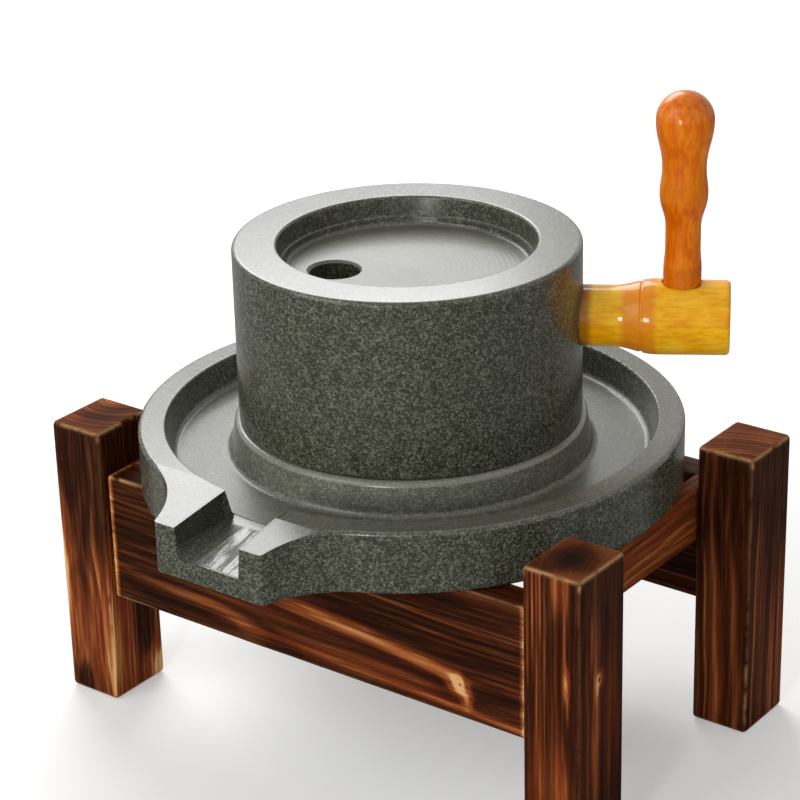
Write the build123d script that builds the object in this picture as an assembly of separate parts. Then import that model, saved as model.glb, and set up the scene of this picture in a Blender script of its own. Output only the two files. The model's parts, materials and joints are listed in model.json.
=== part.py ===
from build123d import *
from math import atan2, cos, degrees, radians, sin, sqrt, tan
import os

# Hand mill for powdered tea: a turning stone on a bedstone with a collecting tray, on a wooden stand.
# Millimetres, +Z up, ground at z = 0, spout towards -Y, long side of the stand along X.

# ---- bedstone and tray, one piece of stone ----
tray_radius = 159.4
tray_wall_height = 37.0
tray_base_thickness = 19.5
rim_width = 15.6
tray_wall_draft = 4.4
tray_cove = 4.0
rim_edge = 2.6
rim_inner_edge = 1.2
tray_bottom_edge = 2.5
bed_height = 19.8
bed_margin = 2.6
bed_draft = 3.0
bed_edge = 3.4
bed_cove = 4.0

# ---- spout ----
spout_reach = 185.0
spout_half_width = 36.0
spout_flare = 60.0
spout_end_corner = 2.5
channel_width = 46.5
channel_fall = 6.4
channel_wall_draft = 2.0
wing_fall = 5.8
wing_length_left = 48.0
wing_length_right = 31.0

# ---- turning stone ----
grinding_gap = 0.3
upper_radius = 100.0
upper_height = 104.6
upper_edge = 2.4
upper_bottom_edge = 1.6
hopper_radius = 74.5
hopper_depth = 16.7
hopper_lip = 1.8
hopper_step_depth = 11.2
hopper_step = 0.9
hopper_step_round = 0.4
hopper_draft = 2.6
hopper_cove = 2.6
hopper_ring_width = 6.5
hopper_dish = 0.9
feed_hole_radius = 14.5
feed_hole_offset = 41.6
feed_hole_angle = 218.4
feed_hole_lip = 1.4
eye_relief_radius = 58.0
eye_relief_depth = 1.5
spreader_width = 12.0
spreader_depth = 2.4
spreader_sweep = 70.0

# ---- grinding furrows on both faces ----
furrow_sectors = 8
furrow_rows = 5
furrow_pitch = 12.0
furrow_width = 2.0
furrow_depth = 1.2
furrow_inner_radius = 40.0
rim_land = 12.0

# ---- centre pin, bush and washer ----
pin_radius = 7.0
pin_in_bed = 27.0
pin_above_bed = 34.0
pin_tip = 2.0
bush_wall = 4.5
bush_length = 38.0
washer_radius = 15.0
washer_thickness = 2.6

# ---- horizontal arm ----
arm_angle = 30.0
arm_drop = 44.2
arm_projection = 83.5
arm_neck_radius = 17.55
arm_barrel_radius = 21.7
arm_end_radius = 21.3
arm_neck_length = 16.0
arm_shoulder_length = 27.0
arm_shoulder_ease = 0.45
arm_groove_share = 0.64
arm_groove_round = 1.3
arm_groove_depth = 0.7
arm_end_edge = 2.6
arm_tenon_edge = 2.6
arm_insertion = 45.0

# ---- upright grip ----
grip_inset = 27.5
grip_seat_depth = 1.6
grip_seat_margin = 0.9
grip_height = 112.8
grip_ball_radius = 16.3
grip_neck_radius = 12.4
grip_neck_height = 69.0
grip_bulge_radius = 13.6
grip_bulge_height = 54.0
grip_waist_radius = 10.0
grip_waist_top = 34.0
grip_waist_bottom = 22.0
grip_foot_radius = 10.8
grip_foot_height = 9.0
grip_foot_edge = 0.9
grip_ease = 0.42

# ---- shoulder screw that holds the grip, from below ----
screw_head_radius = 7.0
screw_head_height = 4.0
screw_head_edge = 0.8
screw_slot_width = 1.6
screw_slot_depth = 1.8
screw_shoulder_radius = 4.5
screw_thread_radius = 3.0
screw_thread_length = 38.0
screw_recess_radius = 9.5
screw_recess_depth = 8.0
grip_washer_radius = 8.5
grip_washer_thickness = 1.5

# ---- stand ----
rail_top_height = 150.8
rail_height = 81.2
rail_thickness = 21.0
rail_setback = 5.2
rail_edge = 2.4
post_width = 37.2
post_depth = 45.0
post_above_rail = 27.9
post_edge = 3.0
post_clearance = 4.7
post_corner_angle = 24.2
mill_left_shift = 3.5
bearer_thickness = 12.0
bearer_height = 34.0
bearer_edge = 1.6
dowel_radius = 3.0
dowel_depth = 18.0
dowel_end_room = 1.0
dowel_edge = 0.6
dowel_spread = 44.0
wood_screw_radius = 1.75
wood_screw_length = 28.0
wood_screw_head_radius = 3.6
wood_screw_head_depth = 2.2
wood_screw_sink = 0.4
wood_screw_spread = 15.0

# ---- clearances ----
running_fit = 0.05
set_fit = 0.05
socket_fit = 0.15
grip_end_play = 0.3
bore_end_room = 2.0

# ---- places worked out from the sizes above ----
ground = 0.0
mill_y = (spout_reach - tray_radius) / 2
rim_inner_radius = tray_radius - rim_width
tray_floor_radius = rim_inner_radius - tray_wall_draft
bed_top_radius = upper_radius + bed_margin
bed_foot_radius = bed_top_radius + bed_draft
tray_bottom_z = rail_top_height
tray_floor_z = tray_bottom_z + tray_base_thickness
rim_z = tray_bottom_z + tray_wall_height
bed_z = tray_floor_z + bed_height
under_z = bed_z + grinding_gap
top_z = under_z + upper_height
hopper_floor_z = top_z - hopper_depth
arm_z = top_z - arm_drop
arm_end = upper_radius + arm_projection
arm_start = upper_radius - arm_insertion
grip_place = arm_end - grip_inset
seat_z = arm_z + arm_barrel_radius - grip_seat_depth
recess_z = arm_z - arm_barrel_radius + screw_recess_depth
bush_radius = pin_radius + running_fit + bush_wall
post_corner = tray_radius + post_clearance
post_inner_x = post_corner * cos(radians(post_corner_angle))
post_inner_y = post_corner * sin(radians(post_corner_angle))
post_x = post_inner_x + post_width / 2
post_y = post_inner_y + post_depth / 2
post_height = rail_top_height + post_above_rail
rail_y = post_inner_y + post_depth - rail_setback - rail_thickness / 2
rail_mid_z = rail_top_height - rail_height / 2
bearer_mid_z = rail_top_height - bearer_height / 2
bearer_half_length = rail_y - rail_thickness / 2
bearer_x = post_inner_x - bearer_thickness / 2
cut_over = 5.0

on_mill = Pos(-mill_left_shift, mill_y, 0)
along_arm = on_mill * Rot(0, 0, arm_angle)
at_grip = along_arm * Pos(grip_place, 0, 0)
corners = {
    "front_left": (-1, -1),
    "front_right": (1, -1),
    "rear_left": (-1, 1),
    "rear_right": (1, 1),
}


def rounded_face(corner_list, plane):
    """Closed face through (u, v, radius) corners, each rounded by its radius where that isn't 0."""
    count = len(corner_list)
    entries = []
    for index, (u, v, radius) in enumerate(corner_list):
        here = Vector(u, v)
        if radius == 0:
            entries.append((here, here, here))
            continue
        before = Vector(*corner_list[index - 1][:2])
        after = Vector(*corner_list[(index + 1) % count][:2])
        back = (before - here).normalized()
        ahead = (after - here).normalized()
        half = radians(back.get_angle(ahead)) / 2
        reach = radius / tan(half)
        bisector = (back + ahead).normalized()
        middle = here + bisector * (radius / sin(half) - radius)
        entries.append((here + back * reach, middle, here + ahead * reach))
    edges = []
    for index, (start, middle, end) in enumerate(entries):
        if start != end:
            edges.append(ThreePointArc(start, middle, end))
        following = entries[(index + 1) % count][0]
        edges.append(Line(end, following))
    return plane * make_face(edges)


def lathe(corner_list):
    """Turned solid from (radius, height, rounding) corners, about Z."""
    return revolve(rounded_face(corner_list, Plane.XZ), Axis.Z)


def tube_cut(radius, low, high):
    """Plain round cutter about Z."""
    return Pos(0, 0, (low + high) / 2) * Cylinder(radius, high - low)


def furrow_cutters(face_z, upwards, outer_radius, mirrored):
    """Straight furrows, cut in sectors: each row runs beside its sector's first furrow."""
    sector = 360 / furrow_sectors
    height = furrow_depth + cut_over
    middle_z = face_z + (furrow_depth - height / 2) * (1 if upwards else -1)
    cutters = []
    for row in range(furrow_rows):
        beside = row * furrow_pitch
        inner = beside / tan(radians(sector)) + furrow_width * 2
        start = max(inner, sqrt(max(furrow_inner_radius ** 2 - beside ** 2, 0)))
        end = sqrt(max(outer_radius ** 2 - beside ** 2, 0))
        if end - start < furrow_width:
            continue
        side = -beside if mirrored else beside
        for number in range(furrow_sectors):
            bar = Box(end - start, furrow_width, height)
            cutters.append(Rot(0, 0, number * sector) * Pos((start + end) / 2, side, middle_z) * bar)
    return cutters


# Outline of the tray seen from above: a circle that flares into the spout.
def tray_outline():
    flare_x = spout_half_width + spout_flare
    flare_y = -sqrt((tray_radius + spout_flare) ** 2 - flare_x ** 2)
    meet = Vector(flare_x, flare_y) * (tray_radius / (tray_radius + spout_flare))
    meet_angle = degrees(atan2(meet.Y, meet.X))
    if spout_reach < -flare_y:
        end_drop = -spout_reach - flare_y
        end_x = flare_x - sqrt(spout_flare ** 2 - end_drop ** 2)
        flare_end = Vector(end_x, -spout_reach)
    else:
        end_x = spout_half_width
        flare_end = Vector(end_x, flare_y)
    centre = Vector(flare_x, flare_y)
    bisector = ((meet - centre).normalized() + (flare_end - centre).normalized()).normalized()
    middle = centre + bisector * spout_flare
    rim_arc = CenterArc((0, 0), tray_radius, meet_angle, 360 - 2 * (90 + meet_angle))
    edges = [rim_arc]
    for side in (1, -1):
        near = Vector(meet.X * side, meet.Y)
        far = Vector(flare_end.X * side, flare_end.Y)
        edges.append(ThreePointArc(near, (middle.X * side, middle.Y), far))
        if spout_reach > -flare_y:
            edges.append(Line(far, (end_x * side, -spout_reach)))
    edges.append(Line((-end_x, -spout_reach), (end_x, -spout_reach)))
    outline = make_face(edges)
    end_points = outline.vertices().sort_by(Axis.Y)[:2]
    return fillet(end_points, spout_end_corner)


def wing_cutter(wing_length, low_x, high_x):
    """Wedge that lowers the top of one spout wing from the rim towards the spout's end."""
    start = spout_reach - wing_length
    far = spout_reach + cut_over
    fall = wing_fall * (wing_length + cut_over) / wing_length
    wedge = Polyline(
        (-start, rim_z),
        (-far, rim_z - fall),
        (-far, rim_z + cut_over),
        (-start, rim_z + cut_over),
        close=True,
    )
    side = Plane.YZ.offset(low_x) * make_face(wedge)
    return extrude(side, high_x - low_x)


def channel_cutter():
    """Spout channel: its floor falls from the tray floor to the spout's end, its walls lean outwards."""
    near = tray_floor_radius - cut_over
    far = spout_reach + cut_over
    slope = channel_fall / (spout_reach - tray_floor_radius)
    height = rim_z + cut_over - tray_floor_z
    half_top = channel_width / 2
    half_low = half_top - channel_wall_draft
    sections = []
    for distance in (near, far):
        floor_z = tray_floor_z - slope * (distance - tray_floor_radius)
        top_z_here = floor_z + height
        corners_here = [
            (-half_low, floor_z), (half_low, floor_z), (half_top, top_z_here), (-half_top, top_z_here)
        ]
        plane = Plane(origin=(0, -distance, 0), x_dir=(1, 0, 0), z_dir=(0, -1, 0))
        sections.append(plane * make_face(Polyline(*corners_here, close=True)))
    return loft(sections, ruled=True)


def make_tray_bedstone():
    raw_height = bed_z - tray_bottom_z + cut_over
    stone = Pos(0, 0, tray_bottom_z) * extrude(tray_outline(), raw_height)
    outside = spout_reach + tray_radius
    turned_away = lathe([
        (0, bed_z, 0),
        (bed_top_radius, bed_z, bed_edge),
        (bed_foot_radius, tray_floor_z, bed_cove),
        (tray_floor_radius, tray_floor_z, tray_cove),
        (rim_inner_radius, rim_z, rim_inner_edge),
        (outside, rim_z, 0),
        (outside, bed_z + 2 * cut_over, 0),
        (0, bed_z + 2 * cut_over, 0),
    ])
    stone -= turned_away
    rim_face = stone.faces().filter_by(Axis.Z).filter_by(lambda f: abs(f.center().Z - rim_z) < 0.01)[0]
    stone = fillet(rim_face.outer_wire().edges(), rim_edge)
    base_face = stone.faces().filter_by(Axis.Z).sort_by(Axis.Z)[0]
    stone = fillet(base_face.outer_wire().edges(), tray_bottom_edge)
    stone -= wing_cutter(wing_length_left, -tray_radius / 2, 0)
    stone -= wing_cutter(wing_length_right, 0, tray_radius / 2)
    stone -= channel_cutter()
    washer_recess = washer_thickness - grinding_gap
    stone -= tube_cut(washer_radius + running_fit, bed_z - washer_recess, bed_z + cut_over)
    stone -= tube_cut(pin_radius + set_fit, bed_z - pin_in_bed, bed_z)
    stone -= furrow_cutters(bed_z, False, upper_radius - rim_land, False)
    return on_mill * stone


def make_upper_stone():
    step_radius = hopper_radius - hopper_draft * hopper_step_depth / hopper_depth
    wall_foot = hopper_radius - hopper_step - hopper_draft
    dish_radius = wall_foot - hopper_ring_width
    bush_hole = bush_radius + set_fit
    stone = lathe([
        (0, under_z + eye_relief_depth, 0),
        (bush_hole, under_z + eye_relief_depth, 0),
        (eye_relief_radius, under_z, 0),
        (upper_radius, under_z, upper_bottom_edge),
        (upper_radius, top_z, upper_edge),
        (hopper_radius, top_z, hopper_lip),
        (step_radius, top_z - hopper_step_depth, hopper_step_round),
        (step_radius - hopper_step, top_z - hopper_step_depth - hopper_step, hopper_step_round),
        (wall_foot, hopper_floor_z, hopper_cove),
        (dish_radius, hopper_floor_z, 0),
        (0, hopper_floor_z - hopper_dish, 0),
    ])
    hole_place = Rot(0, 0, feed_hole_angle) * Pos(feed_hole_offset, 0, 0)
    stone -= hole_place * tube_cut(feed_hole_radius, under_z - cut_over, top_z)
    lip_z = hopper_floor_z - hopper_dish * (1 - feed_hole_offset / dish_radius)
    lip_cone = Cone(feed_hole_radius, feed_hole_radius + 2 * feed_hole_lip, 2 * feed_hole_lip)
    stone -= hole_place * Pos(0, 0, lip_z) * lip_cone
    arc = CenterArc((0, 0), feed_hole_offset, feed_hole_angle, spreader_sweep)
    spreader = extrude(SlotArc(arc, spreader_width), spreader_depth + eye_relief_depth + cut_over)
    stone -= Pos(0, 0, under_z - cut_over) * spreader
    stone -= tube_cut(bush_hole, under_z - cut_over, under_z + bush_length)
    stone -= furrow_cutters(under_z, True, upper_radius - rim_land, True)
    socket_length = arm_insertion + cut_over
    socket = Pos(arm_start + socket_length / 2, 0, arm_z) * Rot(0, 90, 0)
    stone -= Rot(0, 0, arm_angle) * socket * Cylinder(arm_neck_radius + socket_fit, socket_length)
    return on_mill * stone


def make_centre_pin():
    pin = tube_cut(pin_radius, bed_z - pin_in_bed, bed_z + pin_above_bed)
    return on_mill * fillet(pin.edges().group_by(Axis.Z)[-1], pin_tip)


def make_thrust_washer():
    washer = tube_cut(washer_radius, under_z - washer_thickness, under_z)
    return on_mill * (washer - tube_cut(pin_radius + running_fit, ground, top_z))


def make_pin_bush():
    bush = tube_cut(bush_radius, under_z, under_z + bush_length)
    return on_mill * (bush - tube_cut(pin_radius + running_fit, ground, top_z))


# Arm: a turned bar, its neck driven into the stone, its barrel bored for the grip's screw.
def make_handle_arm():
    shoulder_start = upper_radius + arm_neck_length
    shoulder_end = shoulder_start + arm_shoulder_length
    start_x = arm_start + socket_fit
    easing = arm_shoulder_length * arm_shoulder_ease
    shoulder = Bezier(
        (shoulder_start, arm_neck_radius),
        (shoulder_start + easing, arm_neck_radius),
        (shoulder_end - easing, arm_barrel_radius),
        (shoulder_end, arm_barrel_radius),
    )
    outline = [
        Line((start_x, 0), (start_x, arm_neck_radius - arm_tenon_edge)),
        Line((start_x, arm_neck_radius - arm_tenon_edge), (start_x + arm_tenon_edge, arm_neck_radius)),
        Line((start_x + arm_tenon_edge, arm_neck_radius), (shoulder_start, arm_neck_radius)),
        shoulder,
        Line((shoulder_end, arm_barrel_radius), (arm_end, arm_end_radius)),
        Line((arm_end, arm_end_radius), (arm_end, 0)),
        Line((arm_end, 0), (start_x, 0)),
    ]
    arm = revolve(Plane.XZ * make_face(outline), Axis.X)
    arm = fillet(arm.edges().group_by(Axis.X)[-1], arm_end_edge)
    groove = shoulder @ arm_groove_share
    ring_radius = groove.Y + arm_groove_round - arm_groove_depth
    arm -= Pos(groove.X, 0, 0) * Rot(0, 90, 0) * Torus(ring_radius, arm_groove_round)
    arm = Pos(0, 0, arm_z) * arm
    seat_radius = grip_foot_radius + grip_seat_margin
    here = Pos(grip_place, 0, 0)
    arm -= here * tube_cut(seat_radius, seat_z, seat_z + arm_barrel_radius)
    arm -= here * tube_cut(screw_recess_radius, recess_z - screw_recess_depth - cut_over, recess_z)
    arm -= here * tube_cut(screw_shoulder_radius + running_fit, recess_z, seat_z)
    return along_arm * arm


# Grip: swells and waists between places where its outline runs straight up.
def make_grip():
    ball_z = grip_height - grip_ball_radius
    stations = [
        (grip_foot_radius, grip_foot_height),
        (grip_waist_radius, grip_waist_bottom),
        (grip_waist_radius, grip_waist_top),
        (grip_bulge_radius, grip_bulge_height),
        (grip_neck_radius, grip_neck_height),
        (grip_ball_radius, ball_z),
    ]
    edges = [
        Line((0, 0), (grip_foot_radius - grip_foot_edge, 0)),
        Line((grip_foot_radius - grip_foot_edge, 0), (grip_foot_radius, grip_foot_edge)),
        Line((grip_foot_radius, grip_foot_edge), stations[0]),
    ]
    for (radius, height), (next_radius, next_height) in zip(stations, stations[1:]):
        if radius == next_radius:
            edges.append(Line((radius, height), (next_radius, next_height)))
            continue
        pull = (next_height - height) * grip_ease
        edges.append(Bezier(
            (radius, height),
            (radius, height + pull),
            (next_radius, next_height - pull),
            (next_radius, next_height),
        ))
    diagonal = grip_ball_radius * sin(radians(45))
    edges.append(ThreePointArc(stations[-1], (diagonal, ball_z + diagonal), (0, grip_height)))
    edges.append(Line((0, grip_height), (0, 0)))
    grip = revolve(Plane.XZ * make_face(edges), Axis.Z)
    grip -= tube_cut(screw_thread_radius + set_fit, -cut_over, screw_thread_length + bore_end_room)
    return at_grip * Pos(0, 0, seat_z + grip_end_play) * grip


def make_grip_screw():
    head_top = recess_z - grip_washer_thickness
    shoulder_top = seat_z + grip_end_play
    screw = tube_cut(screw_head_radius, head_top - screw_head_height, head_top)
    screw = chamfer(screw.edges().group_by(Axis.Z)[0], screw_head_edge)
    screw += tube_cut(screw_shoulder_radius, head_top - screw_head_height / 2, shoulder_top)
    screw += tube_cut(screw_thread_radius, head_top, shoulder_top + screw_thread_length)
    slot_z = head_top - screw_head_height + screw_slot_depth / 2
    screw -= Pos(0, 0, slot_z) * Box(3 * screw_head_radius, screw_slot_width, screw_slot_depth)
    return at_grip * screw


def make_grip_washer():
    washer = tube_cut(grip_washer_radius, recess_z - grip_washer_thickness, recess_z)
    return at_grip * (washer - tube_cut(screw_shoulder_radius + running_fit, ground, top_z))


# Dowels that hold a rail's ends: two to a corner, one above the other, along X.
def dowel_places(side_x, side_y):
    for step in (-1, 1):
        z = rail_mid_z + step * dowel_spread / 2
        yield Pos(side_x * post_inner_x, mill_y + side_y * rail_y, z) * Rot(0, 90, 0)


# Wood screws that hold a bearer to a post: two to a corner, heads on the bearer's inner face.
def wood_screw_places(side_x, side_y):
    y = mill_y + side_y * (post_inner_y + bearer_half_length) / 2
    for step in (-1, 1):
        z = bearer_mid_z + step * wood_screw_spread / 2
        turn = 90 if side_x > 0 else -90
        yield Pos(side_x * (post_inner_x - bearer_thickness), y, z) * Rot(0, turn, 0)


def wood_screw(extra):
    """Countersunk screw that points along +Z, its head's top at z = 0 plus the sink, grown by extra."""
    head = wood_screw_head_radius + extra
    shank = wood_screw_radius + extra
    cone = Pos(0, 0, wood_screw_sink + wood_screw_head_depth / 2) * Cone(head, shank, wood_screw_head_depth)
    low = wood_screw_sink + wood_screw_head_depth / 2
    return cone + tube_cut(shank, low, wood_screw_sink + wood_screw_length + extra)


def screw_hole():
    """Hole for a wood screw: its countersink is open at the bearer's face."""
    mouth = tube_cut(wood_screw_head_radius + set_fit, -cut_over, wood_screw_sink)
    return wood_screw(set_fit) + mouth


def make_post(side_x, side_y):
    block = Box(post_width, post_depth, post_height)
    post = fillet(block.edges(), post_edge)
    post = Pos(side_x * post_x, mill_y + side_y * post_y, post_height / 2) * post
    hole_length = 2 * (dowel_depth + dowel_end_room)
    for place in dowel_places(side_x, side_y):
        post -= place * Cylinder(dowel_radius + set_fit, hole_length)
    for place in wood_screw_places(side_x, side_y):
        post -= place * wood_screw(set_fit)
    return post


def make_rail(side_y):
    board = Box(2 * post_inner_x, rail_thickness, rail_height)
    board = fillet(board.edges(), rail_edge)
    board = Pos(0, mill_y + side_y * rail_y, rail_mid_z) * board
    hole_length = 2 * (dowel_depth + dowel_end_room)
    for side_x in (-1, 1):
        for place in dowel_places(side_x, side_y):
            board -= place * Cylinder(dowel_radius + set_fit, hole_length)
    return board


def make_bearer(side_x):
    strip = Box(bearer_thickness, 2 * bearer_half_length, bearer_height)
    strip = fillet(strip.edges().filter_by(Axis.Y), bearer_edge)
    strip = Pos(side_x * bearer_x, mill_y, bearer_mid_z) * strip
    for side_y in (-1, 1):
        for place in wood_screw_places(side_x, side_y):
            strip -= place * screw_hole()
    return strip


def make_dowels(side_x, side_y):
    pin = Cylinder(dowel_radius, 2 * dowel_depth)
    pin = chamfer(pin.edges().filter_by(GeomType.CIRCLE), dowel_edge)
    return Compound(children=[place * pin for place in dowel_places(side_x, side_y)])


def make_wood_screws(side_x, side_y):
    return Compound(children=[place * wood_screw(0) for place in wood_screw_places(side_x, side_y)])


nodes = {}
for corner, (side_x, side_y) in corners.items():
    nodes["post_" + corner] = make_post(side_x, side_y)
    nodes["rail_dowels_" + corner] = make_dowels(side_x, side_y)
    nodes["bearer_screws_" + corner] = make_wood_screws(side_x, side_y)
nodes["rail_front"] = make_rail(-1)
nodes["rail_rear"] = make_rail(1)
nodes["tray_bearer_left"] = make_bearer(-1)
nodes["tray_bearer_right"] = make_bearer(1)
nodes["tray_bedstone"] = make_tray_bedstone()
nodes["centre_pin"] = make_centre_pin()
nodes["thrust_washer"] = make_thrust_washer()
nodes["upper_stone"] = make_upper_stone()
nodes["pin_bush"] = make_pin_bush()
nodes["handle_arm"] = make_handle_arm()
nodes["grip"] = make_grip()
nodes["grip_screw"] = make_grip_screw()
nodes["grip_washer"] = make_grip_washer()

os.makedirs("parts", exist_ok=True)
for name, shape in nodes.items():
    export_step(shape, "parts/" + name + ".step")
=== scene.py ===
import bpy
import bmesh
import json
import numpy as np
from math import cos, pi, radians, sin, tau
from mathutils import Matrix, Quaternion, Vector


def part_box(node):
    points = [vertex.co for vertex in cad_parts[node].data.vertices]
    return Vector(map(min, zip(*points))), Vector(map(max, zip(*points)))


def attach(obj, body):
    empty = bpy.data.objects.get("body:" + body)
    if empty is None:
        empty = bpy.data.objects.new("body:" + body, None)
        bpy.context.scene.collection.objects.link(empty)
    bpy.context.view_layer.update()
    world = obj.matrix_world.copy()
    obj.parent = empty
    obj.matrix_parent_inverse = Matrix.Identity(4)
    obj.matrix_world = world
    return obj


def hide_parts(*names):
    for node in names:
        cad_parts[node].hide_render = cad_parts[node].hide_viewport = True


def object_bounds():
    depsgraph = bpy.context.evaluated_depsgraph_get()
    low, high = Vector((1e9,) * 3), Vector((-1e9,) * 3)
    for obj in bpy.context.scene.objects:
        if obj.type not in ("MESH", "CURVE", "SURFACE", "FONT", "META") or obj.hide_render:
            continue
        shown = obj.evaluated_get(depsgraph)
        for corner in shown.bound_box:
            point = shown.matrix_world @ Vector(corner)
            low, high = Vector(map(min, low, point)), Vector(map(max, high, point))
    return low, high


mm = 0.001
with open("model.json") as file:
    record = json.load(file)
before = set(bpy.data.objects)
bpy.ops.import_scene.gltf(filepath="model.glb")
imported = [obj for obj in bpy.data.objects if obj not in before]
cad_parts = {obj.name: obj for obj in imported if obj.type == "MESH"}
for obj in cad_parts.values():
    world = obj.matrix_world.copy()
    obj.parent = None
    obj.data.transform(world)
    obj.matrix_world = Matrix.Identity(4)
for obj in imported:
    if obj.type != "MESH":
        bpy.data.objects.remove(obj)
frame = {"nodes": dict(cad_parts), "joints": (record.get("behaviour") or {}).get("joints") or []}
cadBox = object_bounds()
print("frame loaded:", len(frame["nodes"]), "parts")

# Places that the finishes need, read from the frame
joints = {joint["name"]: joint for joint in frame["joints"]}
axisX, axisY = joints["stone_spin"]["pos_m"][:2]
gripX, gripY, gripSeat = joints["grip_spin"]["pos_m"]
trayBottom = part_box("tray_bedstone")[0].z
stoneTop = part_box("upper_stone")[1].z


# One output socket. Sums, products and powers of wires become Math nodes.
class Wire:
    def __init__(self, shade, socket):
        self.shade = shade
        self.socket = socket

    def math(self, operation, *others):
        return self.shade.add("ShaderNodeMath", {"operation": operation}, (self, *others))

    def __add__(self, other):
        return self.math("ADD", other)

    def __sub__(self, other):
        return self.math("SUBTRACT", other)

    def __rsub__(self, other):
        return self.math("MULTIPLY_ADD", -1, other)

    def __mul__(self, other):
        return self.math("MULTIPLY", other)

    def __truediv__(self, other):
        return self.math("DIVIDE", other)

    def __pow__(self, other):
        return self.math("POWER", other)

    __radd__ = __add__
    __rmul__ = __mul__


# One material's node tree
class Shade:
    def __init__(self, name):
        self.material = bpy.data.materials.new(name)
        self.material.use_nodes = True
        self.tree = self.material.node_tree
        self.surface = self.tree.nodes["Principled BSDF"]

    def add(self, kind, settings, inputs, output=0):
        node = self.tree.nodes.new(kind)
        for name, value in settings.items():
            if name == "stops":
                self.setStops(node.color_ramp, value)
            else:
                setattr(node, name, value)
        pairs = inputs.items() if isinstance(inputs, dict) else enumerate(inputs)
        for key, value in pairs:
            self.feed(node.inputs[key], value)
        return Wire(self, node.outputs[output])

    def feed(self, socket, value):
        if isinstance(value, Wire):
            self.tree.links.new(value.socket, socket)
        else:
            socket.default_value = value

    def setStops(self, ramp, stops):
        while len(ramp.elements) < len(stops):
            ramp.elements.new(1)
        for element, (position, colour) in zip(ramp.elements, stops):
            element.position = position
            element.color = colour

    # Object coordinates, measured from a centre, turned about Z in radians, then stretched
    def place(self, stretch=(1, 1, 1), turn=0, centre=(0, 0, 0)):
        raw = self.add("ShaderNodeTexCoord", {}, (), "Object")
        moved = self.add("ShaderNodeVectorMath", {"operation": "SUBTRACT"}, (raw, centre))
        turned = self.add("ShaderNodeMapping", {}, {"Vector": moved, "Rotation": (0, 0, turn)})
        return self.add("ShaderNodeVectorMath", {"operation": "MULTIPLY"}, (turned, stretch))

    def split(self, vector):
        first = self.add("ShaderNodeSeparateXYZ", {}, (vector,))
        outputs = first.socket.node.outputs
        return first, Wire(self, outputs[1]), Wire(self, outputs[2])

    def noise(self, vector, scale, detail=2.0, roughness=0.5, distortion=0.0):
        sockets = {"Vector": vector, "Scale": scale, "Detail": detail}
        sockets.update({"Roughness": roughness, "Distortion": distortion})
        return self.add("ShaderNodeTexNoise", {}, sockets)

    def cells(self, vector, scale):
        colour = self.add("ShaderNodeTexVoronoi", {}, {"Vector": vector, "Scale": scale}, "Color")
        return self.split(colour)[0]

    # Smoothly from 0 at the first limit to 1 at the second, whichever of them is higher
    def rise(self, value, first, second):
        settings = {"interpolation_type": "SMOOTHSTEP"}
        return self.add("ShaderNodeMapRange", settings, (value, first, second, 0, 1))

    def ramp(self, value, stops):
        return self.add("ShaderNodeValToRGB", {"stops": stops}, (value,))

    def blendColour(self, factor, first, second, way="MIX"):
        settings = {"data_type": "RGBA", "blend_type": way}
        return self.add("ShaderNodeMix", settings, {0: factor, 6: first, 7: second}, 2)

    def bump(self, height, depth, strength=1.0):
        sockets = {"Strength": strength, "Distance": depth, "Height": height}
        return self.add("ShaderNodeBump", {}, sockets)

    def finish(self, colour, roughness, normal=None, **constants):
        self.feed(self.surface.inputs["Base Color"], colour)
        self.feed(self.surface.inputs["Roughness"], roughness)
        if normal is not None:
            self.feed(self.surface.inputs["Normal"], normal)
        for name, value in constants.items():
            self.surface.inputs[name.replace("_", " ")].default_value = value
        return self.material


# Colour from the 0 to 255 values that a picture shows, by the sRGB curve
def seen(red, green, blue):
    def linear(part):
        part = part / 255
        return part / 12.92 if part <= 0.04045 else ((part + 0.055) / 1.055) ** 2.4
    return (linear(red), linear(green), linear(blue), 1)


# The next three take a wire in a material, or an array of mesh points
def sine(value):
    return value.math("SINE") if isinstance(value, Wire) else np.sin(value)


def root(value):
    return value.math("SQRT") if isinstance(value, Wire) else np.sqrt(value)


def bell(value):
    if isinstance(value, Wire):
        return value.math("MULTIPLY", -1).math("EXPONENT")
    return np.exp(-value)


# Adds up named layers by their shares. The share named base stands alone.
def mixed(layers, shares):
    total = shares.get("base", 0)
    for name, share in shares.items():
        if name != "base":
            total = layers[name] * share + total
    return total


# Granite of both stones: its grains, its colours and its polish
graniteLook = {
    "grainSize": 1.1 * mm,
    "finer": {"ripple": 0.8, "small": 1.9, "clouds": 0.16},  # how much finer than the grains
    "ripple": 0.5,  # how far the grains' outlines wander, in grains
    "shares": {"grains": 0.46, "small": 0.34, "clouds": 0.2},
    "contrast": 1.4,
    "dark": seen(32, 34, 24),
    "ground": seen(64, 66, 53),
    "light": seen(122, 124, 106),
    # Paler colour of the honed floors, also laid on the flat tops as a painted sheen
    "honedAndSheen": seen(122, 121, 110),
    "topHoningAndSheen": 0.4,  # how far the flat tops go to the honed colour, which there is partly a real honing and partly a painted sheen
    "roughness": 0.2,
    "cloudScale": 34,
    "roughShares": {"grains": 0.02, "cloud": 0.08},
}


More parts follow.
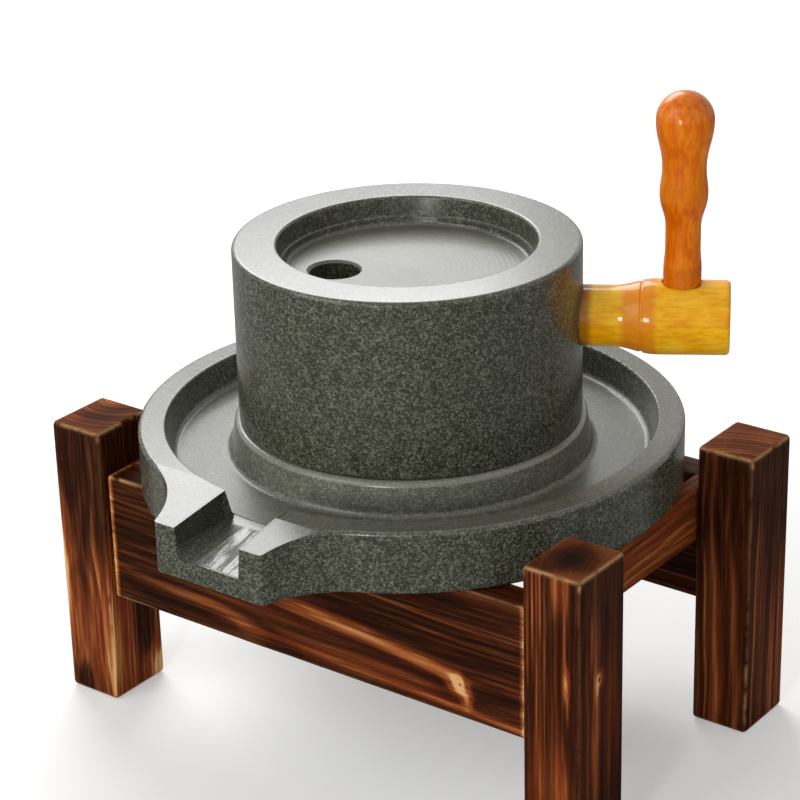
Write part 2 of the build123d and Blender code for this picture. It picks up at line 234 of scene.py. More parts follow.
def speckle(shade, place):
    size = graniteLook["grainSize"]
    finer = graniteLook["finer"]
    reach = graniteLook["ripple"] * size
    sockets = {"Vector": place, "Scale": finer["ripple"] / size}
    ripple = shade.add("ShaderNodeTexNoise", {}, sockets, "Color")
    settings = {"operation": "MULTIPLY_ADD"}
    rippled = shade.add("ShaderNodeVectorMath", settings, (ripple, (reach,) * 3, place))
    layers = {
        "grains": shade.cells(rippled, 1 / size),
        "small": shade.cells(rippled, finer["small"] / size),
        "clouds": shade.noise(place, finer["clouds"] / size, 2),
    }
    value = mixed(layers, graniteLook["shares"])
    stops = [(0.0, graniteLook["dark"]), (0.5, graniteLook["ground"]), (1.0, graniteLook["light"])]
    contrast = graniteLook["contrast"]
    return shade.ramp(value * contrast - (contrast - 1) / 2, stops), value


def polish(shade, place, grains):
    layers = {"grains": grains, "cloud": shade.noise(place, graniteLook["cloudScale"], 3)}
    return mixed(layers, graniteLook["roughShares"]) + graniteLook["roughness"]


# Hopper in the turning stone. A pair says where a zone starts to fade in and where it is full.
hopperLook = {
    "top": (-0.5 * mm, -0.15 * mm),  # under the stone's top
    "mouth": (76 * mm, 74 * mm),  # from the axis
    "floor": (72 * mm, 69 * mm),
    "floorDepth": 17.6 * mm,
    "floorFoot": (-1.4 * mm, -0.4 * mm),  # this and the next two are over the floor
    "floorHead": (3 * mm, 1.4 * mm),
    "wallFoot": (2 * mm, 4 * mm),
    "honing": 0.5,
    "ringPitch": 3.1 * mm,
    "ringWander": (60, 5),  # the wander's scale and its reach in radians
    "ringDepth": 0.015 * mm,
    "ringStrength": 0.6,
    "floorRoughness": 0.1,
    "wallRoughness": 0.04,
}


def topGranite():
    shade = Shade("topGranite")
    place = shade.place()
    x, y, z = shade.split(shade.place(centre=(axisX, axisY, stoneTop)))
    colour, grains = speckle(shade, place)
    radius = root(x * x + y * y)
    height = z + hopperLook["floorDepth"]
    floor = shade.rise(radius, *hopperLook["floor"])
    floor = floor * shade.rise(height, *hopperLook["floorFoot"])
    floor = floor * shade.rise(height, *hopperLook["floorHead"])
    wall = shade.rise(radius, *hopperLook["mouth"]) * shade.rise(height, *hopperLook["wallFoot"])
    top = shade.rise(z, *hopperLook["top"])
    # The tops' share here is partly a painted sheen, laid on as a paler colour; the hopper floor's
    # share is its honing
    honing = floor * hopperLook["honing"] + top * graniteLook["topHoningAndSheen"]
    colour = shade.blendColour(honing, colour, graniteLook["honedAndSheen"])
    wanderScale, wanderReach = hopperLook["ringWander"]
    wander = shade.noise(place, wanderScale) * wanderReach
    rings = sine(radius * (tau / hopperLook["ringPitch"]) + wander)
    normal = shade.bump(rings * floor, hopperLook["ringDepth"], hopperLook["ringStrength"])
    roughness = polish(shade, place, grains) + floor * hopperLook["floorRoughness"]
    return shade.finish(colour, roughness + wall * hopperLook["wallRoughness"], normal)


# Tray and bed, in pairs as for the hopper
trayLook = {
    "floorHeight": 19.5 * mm,
    "topHeight": 37 * mm,
    "floor": (142 * mm, 138 * mm),  # from the axis
    "skirt": (110 * mm, 107 * mm),
    "floorHead": (2 * mm, 0.4 * mm),  # this and the next are over the floor
    "skirtFoot": (-1 * mm, 3 * mm),
    "top": (-0.6 * mm, -0.25 * mm),  # under the rim's top
    "honing": 0.25,
    "skirtPaintedLight": seen(82, 82, 76),  # painted light added on the bed's side, standing in for the light that it catches
    "floorRoughness": 0.12,
}

# Spout, measured forward from the axis. Each wing's top falls from one place at one slope.
spoutLook = {
    "start": (143 * mm, 146 * mm),
    "end": (184.4 * mm, 183.8 * mm),
    "leftWing": (137 * mm, 5.8 / 48),
    "rightWing": (154 * mm, 5.8 / 31),
    "channel": (23.6 * mm, 23.2 * mm),  # to each side of the middle
    "wall": (25 * mm, 24.4 * mm),
    "channelHead": (0.4 * mm, -0.2 * mm),  # this and the next are over the tray's floor
    "wallFoot": (-2 * mm, 0),
    # how far the channel's walls go to the dark grains: painted shade
    "wallPaintedShade": 0.7,
    "sawn": (0.15, seen(150, 148, 138)),
    "sawStretch": (1, 0.05, 1),
    "sawTurn": radians(-6),
    "sawScale": 190,
    "sawDepth": 0.4 * mm,
    "scored": (0.44, 0.58),  # the part of the saw marks that is dark and rough
    "scoredDark": 0.5,
    "roughness": {"base": -0.04, "scored": 0.3},
}


def bedGranite():
    shade = Shade("bedGranite")
    place = shade.place()
    x, y, z = shade.split(shade.place(centre=(axisX, axisY, trayBottom)))
    colour, grains = speckle(shade, place)
    radius = root(x * x + y * y)
    height = z - trayLook["floorHeight"]
    floor = shade.rise(radius, *trayLook["floor"]) * shade.rise(height, *trayLook["floorHead"])
    skirt = shade.rise(radius, *trayLook["skirt"]) * shade.rise(height, *trayLook["skirtFoot"])

    aside = x.math("ABSOLUTE")
    ahead = -1 * y
    spout = shade.rise(ahead, *spoutLook["start"]) * shade.rise(ahead, *spoutLook["end"])
    channel = spout * shade.rise(aside, *spoutLook["channel"])
    channel = channel * shade.rise(height, *spoutLook["channelHead"])
    wall = spout * shade.rise(aside, *spoutLook["wall"])
    wall = wall * shade.rise(height, *spoutLook["wallFoot"])
    onRight = x.math("GREATER_THAN", 0)
    leftStart, leftSlope = spoutLook["leftWing"]
    rightStart, rightSlope = spoutLook["rightWing"]
    leftFall = (ahead - leftStart).math("MAXIMUM", 0) * leftSlope * (1 - onRight)
    rightFall = (ahead - rightStart).math("MAXIMUM", 0) * rightSlope * onRight
    top = shade.rise(z + leftFall + rightFall - trayLook["topHeight"], *trayLook["top"])

    # The tops' share here is partly a painted sheen, laid on as a paler colour; the tray floor's
    # share is its honing
    honing = floor * trayLook["honing"] + top * graniteLook["topHoningAndSheen"]
    colour = shade.blendColour(honing, colour, graniteLook["honedAndSheen"])
    # Painted light: the bed's side is lifted by an added colour
    colour = shade.blendColour(skirt, colour, trayLook["skirtPaintedLight"], "ADD")
    # Painted shade: the channel's walls are darkened as if in shadow
    colour = shade.blendColour(wall * spoutLook["wallPaintedShade"], colour, graniteLook["dark"])
    sawPlace = shade.place(spoutLook["sawStretch"], spoutLook["sawTurn"])
    marks = shade.noise(sawPlace, spoutLook["sawScale"], 3, 0.6)
    scored = shade.rise(marks, *spoutLook["scored"])
    sawn, sawnColour = spoutLook["sawn"]
    colour = shade.blendColour(channel * sawn, colour, sawnColour)
    scoredDark = channel * scored * spoutLook["scoredDark"]
    colour = shade.blendColour(scoredDark, colour, graniteLook["dark"])
    normal = shade.bump(marks * channel, spoutLook["sawDepth"])
    roughness = polish(shade, place, grains) + floor * trayLook["floorRoughness"]
    roughness = roughness + channel * mixed({"scored": scored}, spoutLook["roughness"])
    return shade.finish(colour, roughness, normal)


# Charred wood of the stand. A layer is a noise drawn out along the grain: its stretch, scale,
# detail and roughness, and the two values that its range runs between.
pineLook = {
    "layers": {
        "fibre": (0.03, 1100, 3, 0.6, 0.3, 0.7),
        "strand": (0.03, 420, 3, 0.6, 0.3, 0.7),
        "streak": (0.03, 170, 2, 0.5, 0.28, 0.72),
        "zone": (0.25, 22, 2, 0.5, 0.3, 0.7),
    },
    "burn": {"base": -0.1, "zone": 0.3, "streak": 0.4, "strand": 0.45, "fibre": 0.25},
    "bandFades": (40 * mm, 6 * mm),  # at a band's start, and past its end
    "charred": (0.15, 0.9),  # the burn at which char starts and is full
    "pale": (0.0, -1.1),
    "woodTone": {"base": -0.17, "rings": 0.45, "fibre": 0.4, "strand": 0.45, "pale": 0.7},
    "wood": [
        (0.0, seen(82, 32, 10)),
        (0.35, seen(132, 64, 26)),
        (0.7, seen(190, 118, 62)),
        (1.0, seen(226, 176, 118)),
    ],
    "red": (0.45, seen(122, 40, 24)),
    "charTone": {"base": -0.12, "rings": 0.4, "fibre": 0.4, "strand": 0.35},
    "char": [
        (0.0, seen(26, 9, 1)),
        (0.35, seen(50, 21, 7)),
        (0.7, seen(92, 46, 20)),
        (1.0, seen(160, 102, 64)),
    ],
    "endFade": (0.9 * mm, 0.3 * mm),  # short of the sawn end
    "endTone": {"zone": 0.35, "fibre": 0.15},
    "heart": (11 * mm, 13 * mm),  # size of the dark middle of a sawn end
    "endGrain": [
        (0.0, seen(36, 22, 16)),
        (0.35, seen(74, 36, 20)),
        (0.7, seen(136, 76, 42)),
        (1.0, seen(184, 116, 70)),
    ],
    "worn": seen(232, 178, 122),
    "wornPatch": (90, 3, 0.6, 0.32, 0.56),  # a noise, as in a layer
    "wornHead": (8 * mm, 3 * mm),  # short of the upper end
    "wornFoot": 30 * mm,  # how long the worn foot takes to fade in
    "relief": {"fibre": 0.4, "strand": 0.3, "rings": 1.0},
    "reliefDepth": 0.3 * mm,
    "roughness": 0.5,
    "endRoughness": 0.25,  # added on the sawn ends
    "shine": 0.05,
}

# Waves that shape the rings: how fast each goes, its start in radians and its share.
# They are of unlike length, so that no two rings are alike.
ringLook = {
    "drift": (0.31, 0.7, 1.1),
    "waves": [(1.0, 0.0, 0.5), (0.43, 1.3, 0.3), (1.9, 0.4, 0.2)],
    "swell": (0.17, 2.0, 0.35),
}


def ringWave(turn, facts):
    speed, start, share = facts
    return sine(turn * speed + start) * share


def ridge(phase):
    turn = phase * tau
    turn = turn + ringWave(turn, ringLook["drift"])
    first, second, third = (ringWave(turn, facts) for facts in ringLook["waves"])
    height = (first + second + third) * 0.5 + 0.5
    swell = ringWave(turn, ringLook["swell"]) + (1 - ringLook["swell"][2])
    return height ** 2 * swell


# A soft spot, in mm: its middle across, beside and along the grain, its width and length.
# The last number says how much it adds.
def softSpot(place, facts):
    spotAcross, spotSide, spotAlong, width, length = (part * mm for part in facts[:5])
    across, side, along = place
    reach = ((across - spotAcross) / width) ** 2 + ((side - spotSide) / width) ** 2
    return bell(reach + ((along - spotAlong) / length) ** 2) * facts[5]


# A soft band, in mm: along and beside the grain where it starts and where it ends, and its width.
# The last number says how much it adds.
def softBand(shade, place, facts):
    startAlong, startSide, endAlong, endSide, width = (part * mm for part in facts[:5])
    across, side, along = place
    lean = (endSide - startSide) / (endAlong - startAlong)
    away = (side - (along - startAlong) * lean - startSide) / width
    fadeIn, fadeOut = pineLook["bandFades"]
    inside = shade.rise(along, startAlong, startAlong + fadeIn)
    inside = inside * shade.rise(along, endAlong + fadeOut, endAlong)
    return bell(away * away) * inside * facts[5]


# Which ring a point is on. The grain's waves bend the rings, and its knots push them apart.
def ringPhase(place, grain):
    across, side, along = place
    pithAcross, pithSide = (part * mm for part in grain["pith"])
    distance = root((across - pithAcross) ** 2 + (side - pithSide) ** 2)
    for height, length, start in grain["waves"]:
        distance = distance + sine(along * (tau / (length * mm)) + start) * (height * mm)
    phase = distance / (grain["spacing"] * mm) + along * grain["slope"]
    for knot in grain.get("knots", ()):
        phase = phase + softSpot(place, knot)
    return phase


# The order names the axes that lie across, beside and along the grain
def charredPine(node, order, grain):
    shade = Shade(node + "_pine")
    low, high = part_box(node)
    half = (high - low)[order[2]] / 2
    parts = shade.split(shade.place(centre=(low + high) / 2))
    place = [parts[index] for index in order]
    across, side, along = place

    layers = {"rings": ridge(ringPhase(place, grain))}
    for name, (squeeze, scale, detail, roughness, first, second) in pineLook["layers"].items():
        stretch = [1, 1, 1]
        stretch[order[2]] = squeeze
        layer = shade.noise(shade.place(stretch), scale, detail, roughness)
        layers[name] = shade.rise(layer, first, second)

    burn = mixed(layers, pineLook["burn"]) - layers["rings"] * grain["contrast"] + grain["burn"]
    for spot in grain.get("spots", ()):
        burn = burn + softSpot(place, spot)
    for band in grain.get("bands", ()):
        burn = burn + softBand(shade, place, band)

    layers["pale"] = shade.rise(burn, *pineLook["pale"])
    redShare, red = pineLook["red"]
    reddened = layers["streak"] * (1 - layers["pale"]) * redShare
    wood = shade.ramp(mixed(layers, pineLook["woodTone"]), pineLook["wood"])
    wood = shade.blendColour(reddened, wood, red)
    char = shade.ramp(mixed(layers, pineLook["charTone"]), pineLook["char"])
    colour = shade.blendColour(shade.rise(burn, *pineLook["charred"]), wood, char)

    ringShare, endLift, heartDark = grain.get("end", (0.5, 0.1, 0.1))
    heartAcross, heartSide = pineLook["heart"]
    heart = bell((across / heartAcross) ** 2 + (side / heartSide) ** 2)
    endTone = mixed(layers, pineLook["endTone"]) + layers["rings"] * ringShare + endLift
    endColour = shade.ramp(endTone - heart * heartDark, pineLook["endGrain"])
    endFade = (half - short for short in pineLook["endFade"])
    endFace = shade.rise(along.math("ABSOLUTE"), *endFade)
    colour = shade.blendColour(endFace, colour, endColour)

    if "worn" in grain:
        wear = shade.add("ShaderNodeAttribute", {"attribute_name": "wear"}, (), "Fac")
        scale, detail, roughness, first, second = pineLook["wornPatch"]
        patch = shade.rise(shade.noise(shade.place(), scale, detail, roughness), first, second)
        head, middle, foot = grain["worn"]
        headFade = (half - short for short in pineLook["wornHead"])
        footStart = grain["wornFrom"] * mm
        footFade = shade.rise(along, footStart, footStart - pineLook["wornFoot"])
        spread = shade.rise(along, *headFade) * (head - middle) + middle
        spread = spread + footFade * (foot - middle)
        colour = shade.blendColour(wear * patch * spread, colour, pineLook["worn"])

    normal = shade.bump(mixed(layers, pineLook["relief"]), pineLook["reliefDepth"])
    roughness = endFace * pineLook["endRoughness"] + pineLook["roughness"]
    return shade.finish(colour, roughness, normal, Specular_IOR_Level=pineLook["shine"])


# Lacquered wood of the arm and grip. A noise here is its scale, detail, roughness and distortion.
lacquerLook = {
    "grain": (420, 3, 0.6, 0.3),
    "cloud": (60, 2),
    "fleck": (1300, 1),
    "cloudStretch": 0.6,  # how much of the grain's stretch the clouds take
    "tone": {"grain": 0.45, "cloud": 0.45, "fleck": 0.1},
    "range": (0.34, 0.66),
    "bandFade": (3 * mm, 2 * mm),  # outside a band's ends, and inside them
    "bandTone": {"base": 0.6, "cloud": 0.6},
    "roughness": 0.4,
    "shine": 0.06,
    "coat": 0.4,
    "coatRoughness": 0.08,
}


def lacquer(name, look):
    shade = Shade(name)
    turn, centre, stretch = look["turn"], look["centre"], look["stretch"]
    share = lacquerLook["cloudStretch"]
    cloudStretch = tuple(1 - share + part * share for part in stretch)
    straight = shade.place((1, 1, 1), turn, centre)
    layers = {
        "grain": shade.noise(shade.place(stretch, turn, centre), *lacquerLook["grain"]),
        "cloud": shade.noise(shade.place(cloudStretch, turn, centre), *lacquerLook["cloud"]),
        "fleck": shade.noise(straight, *lacquerLook["fleck"]),
    }
    tone = shade.rise(mixed(layers, lacquerLook["tone"]), *lacquerLook["range"])
    colour = shade.ramp(tone, [(0.0, look["deep"]), (0.5, look["main"]), (1.0, look["pale"])])
    along = shade.split(straight)[look["axis"]]
    outward, inward = lacquerLook["bandFade"]
    bandTone = mixed(layers, lacquerLook["bandTone"])
    for start, end, tint, strength in look["bands"]:
        inside = shade.rise(along, start - outward, start + inward)
        inside = inside * shade.rise(along, end + outward, end - inward)
        colour = shade.blendColour(inside * bandTone * strength, colour, tint)
    return shade.finish(
        colour, lacquerLook["roughness"], Specular_IOR_Level=lacquerLook["shine"],
        Coat_Weight=lacquerLook["coat"], Coat_Roughness=lacquerLook["coatRoughness"],
    )


# Raw wood of the dowels
dowelLook = {
    "stretch": (0.05, 1, 1),
    "grain": (500, 3),
    "stops": [(0.3, seen(170, 130, 84)), (0.7, seen(206, 172, 124))],
    "roughness": 0.6,
}


def plainWood(name):
    shade = Shade(name)
    grain = shade.noise(shade.place(dowelLook["stretch"]), *dowelLook["grain"])
    return shade.finish(shade.ramp(grain, dowelLook["stops"]), dowelLook["roughness"])


# Turned metal, with the fine lines that a lathe leaves
metalLook = {
    "steel": (seen(176, 174, 170), 0.3),
    "brass": (seen(196, 160, 92), 0.28),
    "lineStretch": (1, 1, 12),
    "lines": (600, 2),
    "lineTint": 0.3,
    "lineDark": 0.5,
    "lineRoughness": 0.15,
    "lineDepth": 0.02 * mm,
}


def turnedMetal(name):
    shade = Shade(name)
    colour, roughness = metalLook[name]
    dark = tuple(part * metalLook["lineDark"] for part in colour[:3]) + (1,)
    lines = shade.noise(shade.place(metalLook["lineStretch"]), *metalLook["lines"])
    tinted = shade.blendColour(lines * metalLook["lineTint"], colour, dark)
    roughness = lines * metalLook["lineRoughness"] + roughness
    return shade.finish(tinted, roughness, shade.bump(lines, metalLook["lineDepth"]), Metallic=1.0)


def dress(node, material):
    slots = frame["nodes"][node].data.materials
    slots.clear()
    slots.append(material)


# Bands of a turned piece: where each starts and ends along it, its colour and its strength
armLook = {
    "axis": 0, "turn": radians(-30), "centre": (axisX, axisY, 0), "stretch": (0.25, 1, 1),
    "deep": seen(236, 152, 4), "main": seen(250, 180, 10), "pale": seen(255, 204, 54),
    "bands": [
        # Around the groove: an orange band, partly a stain and partly a painted reflection
        (123 * mm, 141 * mm, seen(224, 104, 22), 0.6),
        # Where the arm goes into the stone: a dark band of painted shade
        (98 * mm, 104 * mm, seen(120, 56, 12), 0.8),
    ],
}
gripLook = {
    "axis": 2, "turn": 0, "centre": (gripX, gripY, gripSeat), "stretch": (1, 1, 0.16),
    "deep": seen(206, 92, 0), "main": seen(230, 114, 3), "pale": seen(244, 144, 22),
    "bands": [
        (0, 12 * mm, seen(176, 70, 4), 0.4),
        (50 * mm, 66 * mm, seen(226, 134, 24), 0.4),
    ],
}
dress("upper_stone", topGranite())
dress("tray_bedstone", bedGranite())
dress("handle_arm", lacquer("armLacquer", armLook))
dress("grip", lacquer("gripLacquer", gripLook))
steel = turnedMetal("steel")
brass = turnedMetal("brass")
dowelWood = plainWood("dowelWood")
for node in frame["nodes"]:
    if "screw" in node or node in ("centre_pin", "grip_washer"):
        dress(node, steel)
    elif node in ("pin_bush", "thrust_washer"):
        dress(node, brass)
    elif "dowels" in node:
        dress(node, dowelWood)
print("finishes made")

# A grain's pith, spacing and waves are in mm, from the piece's middle: a wave is its height,
# its length and its start in radians. The slope is how many rings a metre along adds. The burn
# and the contrast say how dark the piece is and how much its rings spare it.
bearerGrain = {
    "pith": (-30, 25), "spacing": 4.2, "slope": 6.0, "contrast": 0.2, "burn": -0.45,
    "waves": [(1.4, 170, 0.4), (0.5, 60, 2.0)],
}
for node in ("tray_bearer_left", "tray_bearer_right"):
    dress(node, charredPine(node, (0, 2, 1), bearerGrain))


# A block with rounded edges and a fine even grid on each face
def denseBlock(name, low, high, edge, spacing):
    bpy.ops.object.select_all(action="DESELECT")
    bpy.ops.mesh.primitive_cube_add(size=1, location=(low + high) / 2, scale=high - low)
    block = bpy.context.object
    block.name = name
    bpy.ops.object.transform_apply(location=True, rotation=True, scale=True)
    bpy.ops.object.mode_set(mode="EDIT")
    bpy.ops.mesh.select_mode(type="EDGE")
    bpy.ops.mesh.select_all(action="SELECT")
    bpy.ops.mesh.bevel(offset=edge, segments=4, profile=0.5, affect="EDGES")
    for direction in range(3):
        mesh = bmesh.from_edit_mesh(block.data)
        reach = high[direction] - low[direction] - 2 * edge
        for line in mesh.edges:  # the long edges that run this way
            run = line.verts[1].co - line.verts[0].co
            drawn = abs(run[direction])
            line.select_set(drawn > 0.9 * reach and drawn > 0.99 * run.length)
        bmesh.update_edit_mesh(block.data)
        bpy.ops.mesh.subdivide(number_cuts=max(1, round(reach / spacing[direction]) - 1))
    bpy.ops.object.mode_set(mode="OBJECT")
    return block


# How far the wear reaches from the edges and ends, and how much it holds back the relief
reliefLook = {"wearReach": 1.4 * mm, "endReach": 1.2 * mm, "wearHold": 0.5, "endHold": 0.75}


# Sinks the soft wood between the rings and marks where the edges have worn
def relieve(block, low, high, order, grain, depth):
    points = np.empty(len(block.data.vertices) * 3, np.float32)
    block.data.vertices.foreach_get("co", points)
    points = points.reshape(-1, 3)
    local = points - np.array((low + high) / 2)
    hollow = 1 - ridge(ringPhase([local[:, index] for index in order], grain))
    inset = np.minimum(points - np.array(low), np.array(high) - points)
    nearest = np.sort(inset, axis=1)
    wear = np.exp(-(nearest[:, 1] / reliefLook["wearReach"]) ** 2)
    endFace = np.exp(-(inset[:, order[2]] / reliefLook["endReach"]) ** 2)
    weight = hollow * (1 - reliefLook["endHold"] * endFace) * (1 - reliefLook["wearHold"] * wear)
    attribute = block.data.attributes.new("wear", "FLOAT", "POINT")
    attribute.data.foreach_set("value", wear.astype(np.float32))
    group = block.vertex_groups.new(name="relief")
    for index, value in enumerate(weight):
        group.add([index], float(value), "REPLACE")
    bpy.ops.object.select_all(action="DESELECT")
    block.select_set(True)
    bpy.context.view_layer.objects.active = block
    sink = block.modifiers.new("sink", "DISPLACE")
    sink.vertex_group = "relief"
    sink.mid_level = 0
    sink.strength = -depth
    bpy.ops.object.modifier_apply(modifier="sink")
    bpy.ops.object.shade_smooth()


def charredBlock(node, order, grain, look):
    low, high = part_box(node)
    block = denseBlock("charred_" + node, low, high, look["edge"], look["spacing"])
    relieve(block, low, high, order, grain, look["relief"])
    block.data.materials.append(charredPine(node, order, grain))
    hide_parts(node)
    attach(block, "stand")


# Posts stand along Z. "end" is how the sawn top looks: rings, lift and dark heart. "worn" is how
# pale the edges are at the head, middle and foot, and "wornFrom" is where the foot starts, in mm.
postLook = {"edge": 3 * mm, "spacing": (1 * mm, 1 * mm, 3 * mm), "relief": 0.45 * mm}
right, front = 18.6, -22.5  # two of a post's faces from its middle, in mm
postGrains = {
    "front_left": {
        "pith": (-6, 30), "spacing": 2.4, "slope": 1.5, "contrast": 0.3, "burn": -0.12,
        "end": (0.75, 0.2, 0.25), "worn": (0.75, 0.1, 0.7), "wornFrom": 0,
        "waves": [(0.9, 210, 1.0), (0.3, 70, 0.3)],
        "spots": [
            (2, -10, 64, 40, 56, 1.0),
            (-right, front, -8, 5, 50, -2.6),
            (2, front, -50, 18, 36, -0.35),
            (-8, front, -82, 9, 13, 1.0),
            (right, -14, -60, 9, 40, -0.6),
            (right, 7, -50, 8, 30, 0.8),
            (right, 22, -84, 13, 16, -2.0),
            (19, -23, -60, 2.4, 40, -0.8),
        ],
    },
    "front_right": {
        "pith": (62, 12), "spacing": 4.2, "slope": 0.6, "contrast": 0.12, "burn": 0.5,
        "end": (0.12, 0.3, 0.6), "worn": (0.95, 0.08, 0.3), "wornFrom": -50,
        "waves": [(0.7, 230, 2.2), (0.2, 50, 1.3)],
        "spots": [
            (-14.6, front, 60, 0.7, 44, -1.1),
            (-11.6, front, 70, 0.6, 34, -1.3),
            (-9, front, 8, 0.7, 90, -1.0),
            (-6.6, front, 78, 0.6, 24, -1.2),
            (-4, front, 30, 0.6, 60, -1.1),
            (3, front, 84, 3, 18, -0.9),
            (9, front, 84, 2.4, 20, -1.1),
            (8.6, front, 46, 1.0, 26, -1.0),
            (9.8, front, 27, 2.0, 9, -1.5),
            (10.6, front, 12, 0.9, 12, -0.8),
            (-8, front, -44, 12, 38, -0.55),
            (7, front, -44, 5, 26, -1.0),
            (right, 4, 0, 26, 90, -0.5),
            (right, -10.4, 50, 1.2, 15, -0.9),
            (right, -3, 23.5, 3.2, 4.4, -2.2),
            (right, -5, 17, 1.6, 5, -1.2),
            (right, -3, 23.5, 1.3, 1.7, 2.4),
            (right, -8, -12, 1.8, 24, -0.6),
        ],
    },
    "rear_left": {
        "pith": (-50, -20), "spacing": 3.8, "slope": 1.8, "contrast": 0.3, "burn": 0.1,
        "worn": (0.8, 0.15, 0.5), "wornFrom": -20,
        "waves": [(1.0, 230, 0.2), (0.3, 60, 2.3)],
        "spots": [(0, 21, 70, 40, 50, 0.6), (10, 21, -40, 12, 40, -0.5)],
    },
    "rear_right": {
        "pith": (20, -60), "spacing": 4.0, "slope": -1.2, "contrast": 0.3, "burn": 0.1,
        "worn": (0.8, 0.15, 0.5), "wornFrom": -20,
        "waves": [(0.9, 200, 3.2), (0.4, 80, 0.9)],
        "spots": [(0, 0, 74, 40, 46, 0.6), (0, 21, -44, 14, 44, -0.5)],
    },
}
for corner, grain in postGrains.items():
    charredBlock("post_" + corner, (0, 1, 2), grain, postLook)

# Boards lie along X, and their worn foot is their left end
railLook = {"edge": 2.4 * mm, "spacing": (3 * mm, 1 * mm, 1 * mm), "relief": 0.4 * mm}
outer = 10.5  # a board's outer face from its middle, in mm
railGrains = {
    "front": {
        "pith": (46, -34), "spacing": 3.4, "slope": 5.0, "contrast": 0.3, "burn": 0.22,
        "worn": (0.9, 0.2, 0.9), "wornFrom": -112,
        "waves": [(1.2, 400, 0.5), (0.4, 110, 1.9)],
        "knots": [(-outer, -22, 106, 7, 11, 0.8)],
        "spots": [
            (-outer, 0, -147.6, 80, 2, -2.0),
            (-outer, 0, 147.6, 80, 1.6, -1.6),
            (-outer, -20.5, 105, 5.6, 5.6, -2.1),
            (-outer, -19.6, 105.4, 1.2, 1.2, 1.4),
            (-outer, -29, 110, 5, 3.4, -1.5),
            (-outer, -21, 128, 8, 14, 0.4),
            (-outer, 14, -128, 34, 40, 0.75),
            (-outer, 12, 104, 22, 42, 0.35),
            (-outer, -32, -110, 12, 50, 0.25),
            (-outer, 8, 20, 9, 90, 0.3),
            (-outer, -30, 40, 8, 40, -0.35),
        ],
        "bands": [
            (-34, -1, 104, -16, 4.2, -1.15),
            (40, 18.5, 150, 18.9, 0.7, -0.45),
            (60, 2, 150, 4, 1.0, -0.5),
            (-80, -28, 150, -36, 1.6, -0.7),
        ],
    },
    "rear": {
        "pith": (-34, 24), "spacing": 3.6, "slope": 4.0, "contrast": 0.3, "burn": 0.2,
        "worn": (0.8, 0.3, 0.8), "wornFrom": -112,
        "waves": [(1.4, 360, 2.5), (0.5, 100, 0.9)],
        "knots": [(outer, 8, -60, 7, 11, 0.9)],
        "spots": [(outer, 8, -60, 4.4, 5, -1.6), (outer, 26, 40, 16, 80, 0.4)],
    },
}
for name, grain in railGrains.items():
    charredBlock("rail_" + name, (1, 2, 0), grain, railLook)
print("stand made")

# The camera sees the floor as white, and a mirror sees it as the darker colour
floorLook = {
    "size": 8.0,
    "drop": 0.3 * mm,  # under the feet
    "colour": (0.82, 0.82, 0.81, 1),
    "mirrored": (0.3, 0.3, 0.3, 1),
    "roughness": 0.9,
    "lift": 0.3,  # white added under the mill, which grows to 1 between the next two distances
    "fade": (0.8, 3.0),
}
bpy.ops.object.select_all(action="DESELECT")
floorPlace = (0, 0, -floorLook["drop"])
bpy.ops.mesh.primitive_plane_add(size=floorLook["size"], location=floorPlace)
floor = bpy.context.object
floor.name = "floor"
floorShade = Shade("floorWhite")
seenDirectly = floorShade.add("ShaderNodeLightPath", {}, (), "Is Camera Ray")
mirrored = floorShade.add("ShaderNodeLightPath", {}, (), "Is Glossy Ray")
floorColour = floorShade.blendColour(mirrored, floorLook["colour"], floorLook["mirrored"])
floorShade.finish(floorColour, floorLook["roughness"])
floorShade.surface.inputs["Emission Color"].default_value = (1, 1, 1, 1)
acrossFloor, alongFloor = floorShade.split(floorShade.place())[:2]
fromMill = root(acrossFloor * acrossFloor + alongFloor * alongFloor)
glow = floorShade.rise(fromMill, *floorLook["fade"]) * (1 - floorLook["lift"]) + floorLook["lift"]
floorShade.feed(floorShade.surface.inputs["Emission Strength"], seenDirectly * glow)
floor.data.materials.append(floorShade.material)

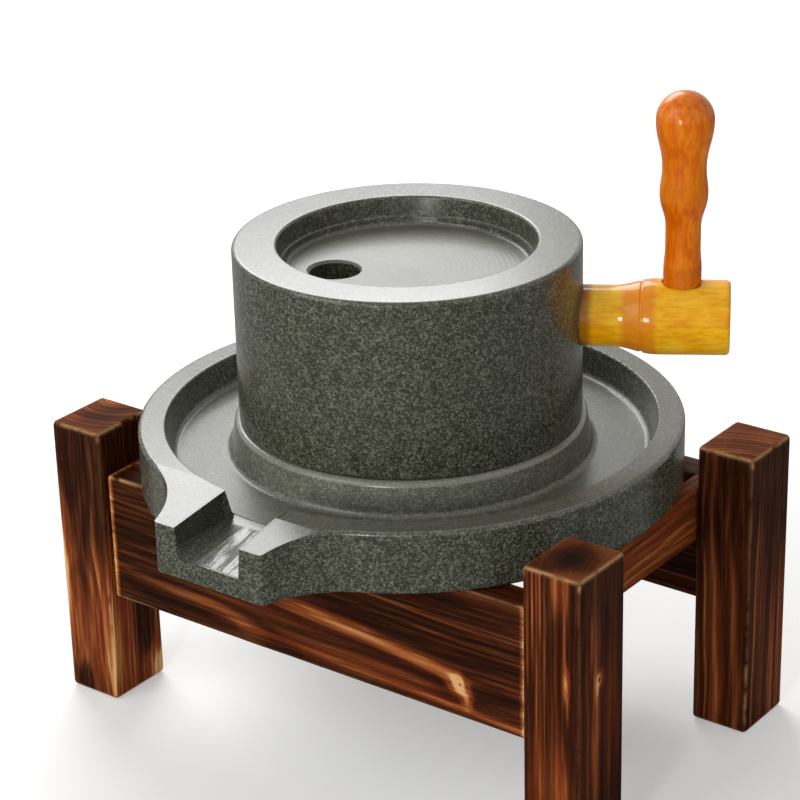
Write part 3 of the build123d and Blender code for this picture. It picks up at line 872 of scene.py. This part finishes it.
# The world is white to the camera, to mirrors and to glass, and softer as a light
worldLight = {"light": 0.34, "shown": 1.0}
world = bpy.data.worlds.new("studio")
bpy.context.scene.world = world
world.use_nodes = True
worldNodes = world.node_tree.nodes
worldLinks = world.node_tree.links
lightPath = worldNodes.new("ShaderNodeLightPath")
shown = lightPath.outputs["Is Camera Ray"]
for name in ("Is Glossy Ray", "Is Transmission Ray"):
    either = worldNodes.new("ShaderNodeMath")
    either.operation = "MAXIMUM"
    worldLinks.new(shown, either.inputs[0])
    worldLinks.new(lightPath.outputs[name], either.inputs[1])
    shown = either.outputs[0]
level = worldNodes.new("ShaderNodeMapRange")
worldLinks.new(shown, level.inputs["Value"])
level.inputs["To Min"].default_value = worldLight["light"]
level.inputs["To Max"].default_value = worldLight["shown"]
worldLinks.new(level.outputs["Result"], worldNodes["Background"].inputs["Strength"])
worldNodes["Background"].inputs["Color"].default_value = (1, 1, 1, 1)

# Softboxes that face the mill: azimuth and elevation in degrees, distance and size in metres,
# and how bright each is
softboxes = {
    "backBox": (231, 39, 1.6, (1.0, 0.8), 7.6),
    "frontBox": (17, 10.5, 1.7, (0.2, 0.36), 34.0),
    "leftBox": (-18, 38, 1.8, (1.1, 1.0), 2.6),
}
middle = (cadBox[0] + cadBox[1]) / 2
for name, (azimuth, elevation, distance, size, radiance) in softboxes.items():
    turn, lift = radians(azimuth), radians(elevation)
    away = Vector((sin(turn) * cos(lift), -cos(turn) * cos(lift), sin(lift)))
    lamp = bpy.data.lights.new(name, "AREA")
    lamp.shape = "RECTANGLE"
    lamp.size, lamp.size_y = size
    lamp.energy = radiance * size[0] * size[1] * pi
    holder = bpy.data.objects.new(name, lamp)
    holder.location = middle + away * distance
    holder.rotation_mode = "QUATERNION"
    holder.rotation_quaternion = away.to_track_quat("Z", "Y")
    bpy.context.scene.collection.objects.link(holder)

cameraFacts = {
    "place": (839.3 * mm, -1108.4 * mm, 806.4 * mm),
    "forward": (-0.5542, 0.7304, -0.3994),
    "roll": -1.52,
    "lens": 118.03,
    "sensor": 36,
    "nearest": 50 * mm,
}
camera = bpy.data.cameras.new("camera")
camera.lens = cameraFacts["lens"]
camera.sensor_width = cameraFacts["sensor"]
camera.clip_start = cameraFacts["nearest"]
viewer = bpy.data.objects.new("camera", camera)
viewer.location = cameraFacts["place"]
viewer.rotation_mode = "QUATERNION"
facing = Vector(cameraFacts["forward"]).to_track_quat("-Z", "Y")
viewer.rotation_quaternion = facing @ Quaternion((0, 0, 1), radians(cameraFacts["roll"]))
bpy.context.scene.collection.objects.link(viewer)
bpy.context.scene.camera = viewer
bpy.context.scene.view_settings.view_transform = "Standard"
print("floor, lights and camera placed")
